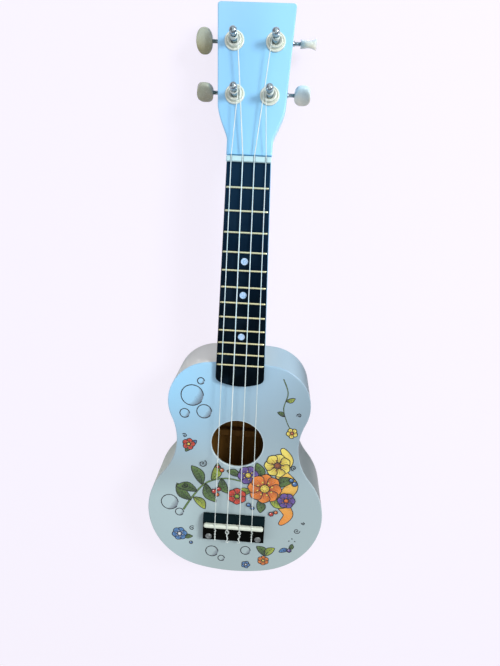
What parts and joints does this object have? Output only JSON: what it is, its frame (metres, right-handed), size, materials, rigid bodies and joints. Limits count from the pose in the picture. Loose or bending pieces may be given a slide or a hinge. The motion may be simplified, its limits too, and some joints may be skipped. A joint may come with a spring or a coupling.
{
  "type": "soprano ukulele",
  "caption": "Soprano ukulele with a waisted hollow body, round sound hole, tilted head, fretted neck and open worm-and-wheel tuners.",
  "frame": {"origin": "on the back plate's outer face, on the centre line, straight beneath the end of the scale at the saddle", "axes": "+Z out of the soundboard, +Y along the neck towards the head, +X to the side of the first string"},
  "size_m": [0.1764, 0.5254, 0.0663],
  "materials": {
    "lacquered_wood": "gloss white lacquer with a cool blue cast",
    "bare_wood": "unfinished, brown",
    "fretboard_black": "black, satin",
    "fret_brass": "polished, pale",
    "dot_pearl": "pale blue-grey pearl",
    "ivory_plastic": "ivory, smooth",
    "bridge_black": "black, smooth",
    "nickel_plate": "nickel plated",
    "nylon": "clear to white nylon",
    "cream_plastic": "cream, glossy",
    "gear_brass": "cut brass"
  },
  "bodies": {
    "ukulele": {"soundboard": "lacquered_wood", "back_plate": "lacquered_wood", "side_bass": "lacquered_wood", "side_treble": "lacquered_wood", "neck": "lacquered_wood", "neck_block": "bare_wood", "tail_block": "bare_wood", "top_brace_upper": "bare_wood", "top_brace_lower": "bare_wood", "back_brace": "bare_wood", "bridge_patch": "bare_wood", "fretboard": "fretboard_black", "fret_01": "fret_brass", "fret_02": "fret_brass", "fret_03": "fret_brass", "fret_04": "fret_brass", "fret_05": "fret_brass", "fret_06": "fret_brass", "fret_07": "fret_brass", "fret_08": "fret_brass", "fret_09": "fret_brass", "fret_10": "fret_brass", "fret_11": "fret_brass", "fret_12": "fret_brass", "marker_fret_05": "dot_pearl", "marker_fret_07": "dot_pearl", "marker_fret_10": "dot_pearl", "nut": "ivory_plastic", "bridge": "bridge_black", "saddle": "ivory_plastic", "bridge_screw_bass": "nickel_plate", "bridge_screw_treble": "nickel_plate", "string_1": "nylon", "string_2": "nylon", "string_3": "nylon", "string_4": "nylon", "bushing_1": "cream_plastic", "bushing_2": "cream_plastic", "bushing_3": "cream_plastic", "bushing_4": "cream_plastic", "plate_1": "nickel_plate", "plate_2": "nickel_plate", "plate_3": "nickel_plate", "plate_4": "nickel_plate"},
    "knob_1_turning": {"knob_1": "cream_plastic", "worm_1": "nickel_plate"},
    "post_1_turning": {"post_1": "nickel_plate", "gear_1": "gear_brass"},
    "knob_2_turning": {"knob_2": "cream_plastic", "worm_2": "nickel_plate"},
    "post_2_turning": {"post_2": "nickel_plate", "gear_2": "gear_brass"},
    "knob_3_turning": {"knob_3": "cream_plastic", "worm_3": "nickel_plate"},
    "post_3_turning": {"post_3": "nickel_plate", "gear_3": "gear_brass"},
    "knob_4_turning": {"knob_4": "cream_plastic", "worm_4": "nickel_plate"},
    "post_4_turning": {"post_4": "nickel_plate", "gear_4": "gear_brass"}
  },
  "joints": [
    {"name": "knob_1_turn", "type": "hinge", "parent": "ukulele", "child": "knob_1_turning", "pos_m": [0.0137, 0.39847, 0.02971], "axis": [1, 0, 0], "continuous": true},
    {"name": "post_1_turn", "type": "hinge", "parent": "ukulele", "child": "post_1_turning", "pos_m": [0.0137, 0.39501, 0.04806], "axis": [0, 0.225, 0.9744], "continuous": true},
    {"name": "knob_2_turn", "type": "hinge", "parent": "ukulele", "child": "knob_2_turning", "pos_m": [0.0161, 0.43764, 0.02067], "axis": [1, 0, 0], "continuous": true},
    {"name": "post_2_turn", "type": "hinge", "parent": "ukulele", "child": "post_2_turning", "pos_m": [0.0161, 0.43418, 0.03902], "axis": [0, 0.225, 0.9744], "continuous": true},
    {"name": "knob_3_turn", "type": "hinge", "parent": "ukulele", "child": "knob_3_turning", "pos_m": [-0.0161, 0.43764, 0.02067], "axis": [1, 0, 0], "continuous": true},
    {"name": "post_3_turn", "type": "hinge", "parent": "ukulele", "child": "post_3_turning", "pos_m": [-0.0161, 0.43418, 0.03902], "axis": [0, 0.225, 0.9744], "continuous": true},
    {"name": "knob_4_turn", "type": "hinge", "parent": "ukulele", "child": "knob_4_turning", "pos_m": [-0.0137, 0.39847, 0.02971], "axis": [1, 0, 0], "continuous": true},
    {"name": "post_4_turn", "type": "hinge", "parent": "ukulele", "child": "post_4_turning", "pos_m": [-0.0137, 0.39501, 0.04806], "axis": [0, 0.225, 0.9744], "continuous": true}
  ],
  "couplings": [
    {"joint": "post_1_turn", "follows": "knob_1_turn", "ratio": 0.071429},
    {"joint": "post_2_turn", "follows": "knob_2_turn", "ratio": 0.071429},
    {"joint": "post_3_turn", "follows": "knob_3_turn", "ratio": 0.071429},
    {"joint": "post_4_turn", "follows": "knob_4_turn", "ratio": 0.071429}
  ]
}
